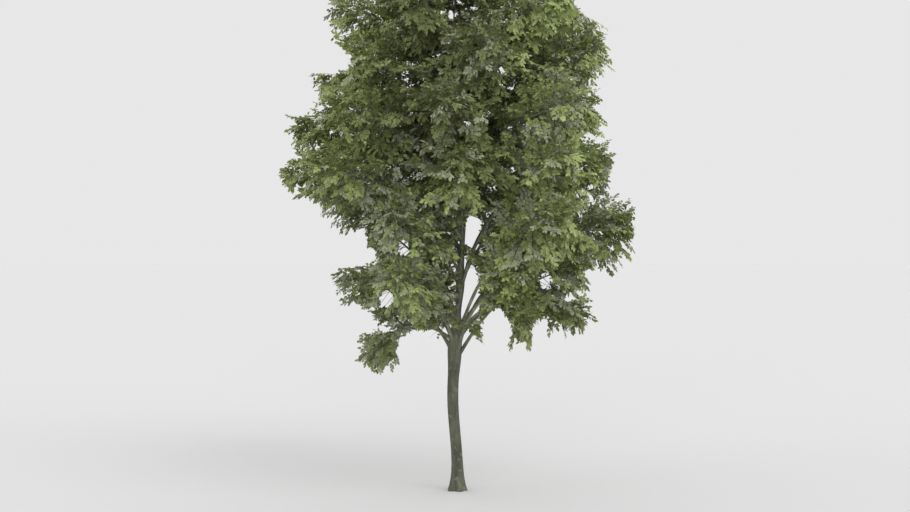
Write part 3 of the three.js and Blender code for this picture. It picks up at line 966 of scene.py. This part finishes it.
def grow_leaves(mass, start, way, size, face, tone, random):
    """Leaves in two ranks along shoots: vertices, faces and the tone of each face."""
    counts = np.maximum(LEAST_LEAVES, np.round(size / LEAF_SPACING).astype(int))
    shoot = np.repeat(np.arange(len(size)), counts)
    rank = np.arange(len(shoot)) - np.repeat(np.cumsum(counts) - counts, counts)
    f = (rank + LEAF_PLACE) / counts[shoot]
    root = start[shoot] + way[shoot] * (size[shoot] * np.minimum(f, 1))[:, None]
    along, normal = way[shoot], unit(face[shoot] - dot(face[shoot], way[shoot]) * way[shoot])
    side = np.cross(along, normal) * np.where(rank % 2, 1.0, -1.0)[:, None]
    last = rank == counts[shoot] - 1
    angle = LEAF_ANGLE * random.uniform(*LEAF_ANGLE_SHARE, len(shoot))
    angle = np.where(last, END_ANGLE, angle)[:, None]
    scatter = random.normal(0, LEAF_SCATTER, (len(shoot), 3))
    y = unit(along * np.cos(angle) + side * np.sin(angle) - UP * LEAF_DROOP + scatter)
    z = normal + random.normal(0, LEAF_TWIST, (len(shoot), 3))
    z = unit(z - dot(z, y) * y)
    x = np.cross(y, z)
    length = random.uniform(*LEAF_LENGTH, len(shoot))[:, None, None]
    width = random.uniform(*LEAF_WIDTH, len(shoot))[:, None, None]
    shape = LEAF_SHAPE[None] * length
    blade = root[:, None] + shape[..., :1] * width * x[:, None] + shape[..., 1:2] * y[:, None]
    blade = blade + shape[..., 2:] * z[:, None]
    fray = random.uniform(-SKY_FRAY, SKY_FRAY, len(shoot))
    tip = blade[:, LEAF_TIP]
    keep = ~in_open_sky(tip, SKY_HOLES + SKY_BITES, fray) & in_reach(tip, mass, random)
    blade, shoot = blade[keep], shoot[keep]
    faces = np.arange(len(shoot))[:, None, None] * len(LEAF_SHAPE) + LEAF_FACES
    tones = np.repeat(tone[shoot], len(LEAF_FACES))
    return blade.reshape(-1, 3), faces.reshape(-1, LEAF_FACES.shape[1]), tones


def grow(mass):
    """Branches, shoots and leaves of one mass: its two parts of twigs, its leaves and their tones."""
    random = np.random.default_rng(SEED + mass.number)
    grown = zip(stem_branches(mass, random), inner_branches(mass, random))
    starts, ways, lengths = (np.concatenate(column) for column in grown)
    lengths = lengths * share_under_leaf(branch_paths(starts, ways, lengths))
    keep = lengths > BRANCH_LEAST
    starts, ways, lengths = starts[keep], ways[keep], lengths[keep]
    paths = branch_paths(starts, ways, lengths)
    taper = lerp(BRANCH_RADIUS, BRANCH_TIP_RADIUS, np.linspace(0, 1, BRANCH_STEPS - 1))
    radii = taper[None, :, None] * (lengths / BRANCH_LENGTH)[:, None, None] ** 0.5
    branches = tubes(paths, radii, TWIG_SIDES)
    shoots = [grow_shoots(path, length, random) for path, length in zip(paths, lengths)]
    start, way, size, face = (np.concatenate(column) for column in zip(*shoots))
    tip = start + way * size[:, None]
    keep = ~in_open_sky(tip, SKY_HOLES + SKY_BITES) & in_reach(tip, mass, random)
    start, way, size, face, tip = start[keep], way[keep], size[keep], face[keep], tip[keep]
    radii = np.full((len(start), 1, 1), SHOOT_RADIUS)
    stalks = tubes(np.stack([start, tip], axis=1), radii, TWIG_SIDES)
    tone = spray_tones(start, mass, random)
    vertices, faces, tones = grow_leaves(mass, start, way, size, face, tone, random)
    return [branches, stalks], (vertices, faces), tones


def dress(obj, nodes):
    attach(obj, "root")
    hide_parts(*nodes)


# The tree
masses = make_masses()
vertices, faces, smooth = trunk_mesh()
dress(mesh_object("trunk_bark", vertices, faces, [BARK], smooth=smooth), ["trunk"])
carried = [m for m in masses if m.has_bough]
boughs = mesh_object("boughs_bark", *joined([limb_mesh(m, *BOUGH_GRID) for m in carried]), [BARK])
dress(boughs, [f"bough_{m.label}" for m in carried])
rising = [m for m in masses if not m.has_bough]
limbs = mesh_object("limbs_bark", *joined([limb_mesh(m, *LIMB_GRID) for m in rising]), [BARK])
dress(limbs, [f"foliage_{m.label}" for m in rising])

twig_parts = []
for group, tiers in GROUPS.items():
    members = [m for m in masses if m.tier in tiers]
    leaf_parts, leaf_tones = [], []
    for mass in members:
        twigs_grown, leaves_grown, tones = grow(mass)
        twig_parts += twigs_grown
        leaf_parts.append(leaves_grown)
        leaf_tones.append(tones)
    tones = np.concatenate(leaf_tones)
    leaves = mesh_object(group, *joined(leaf_parts), LEAF_TONES, tones, smooth=False)
    dress(leaves, [f"foliage_{m.label}" for m in members])

twigs = mesh_object("twigs", *joined(twig_parts), [TWIG])
dress(twigs, [f"foliage_{m.label}" for m in masses])

# Camera, floor and light
camera_data = bpy.data.cameras.new("camera")
camera_data.lens = CAMERA_LENS
camera_data.sensor_width = CAMERA_SENSOR
camera_data.clip_end = CAMERA_RANGE
camera = bpy.data.objects.new("camera", camera_data)
camera.location = CAMERA_PLACE
camera.rotation_euler = (math.radians(90), 0, 0)
bpy.context.scene.collection.objects.link(camera)
bpy.context.scene.camera = camera

floor_material, _, floor_shader = new_material("floor")
floor_shader.inputs["Base Color"].default_value = (FLOOR_TONE, FLOOR_TONE, FLOOR_TONE, 1)
floor_shader.inputs["Roughness"].default_value = FLOOR_ROUGHNESS
floor_shader.inputs["Specular IOR Level"].default_value = 0
floor_corners = FLOOR_HALF * np.array([(-1, -1, 0), (1, -1, 0), (1, 1, 0), (-1, 1, 0)])
floor = mesh_object("floor", floor_corners, np.array([(0, 1, 2, 3)]), [floor_material])

for name, strength, softness, tilt, turn in SUNS:
    sun_data = bpy.data.lights.new(name, "SUN")
    sun_data.energy = strength
    sun_data.angle = math.radians(softness)
    sun = bpy.data.objects.new(name, sun_data)
    sun.rotation_euler = (math.radians(tilt), 0, math.radians(turn))
    bpy.context.scene.collection.objects.link(sun)

world = bpy.data.worlds.new("studio")
bpy.context.scene.world = world
world.use_nodes = True
background = world.node_tree.nodes["Background"]
background.inputs["Color"].default_value = (1.0, 1.0, 1.0, 1)
background.inputs["Strength"].default_value = WORLD_STRENGTH
bpy.context.scene.view_settings.view_transform = "Standard"
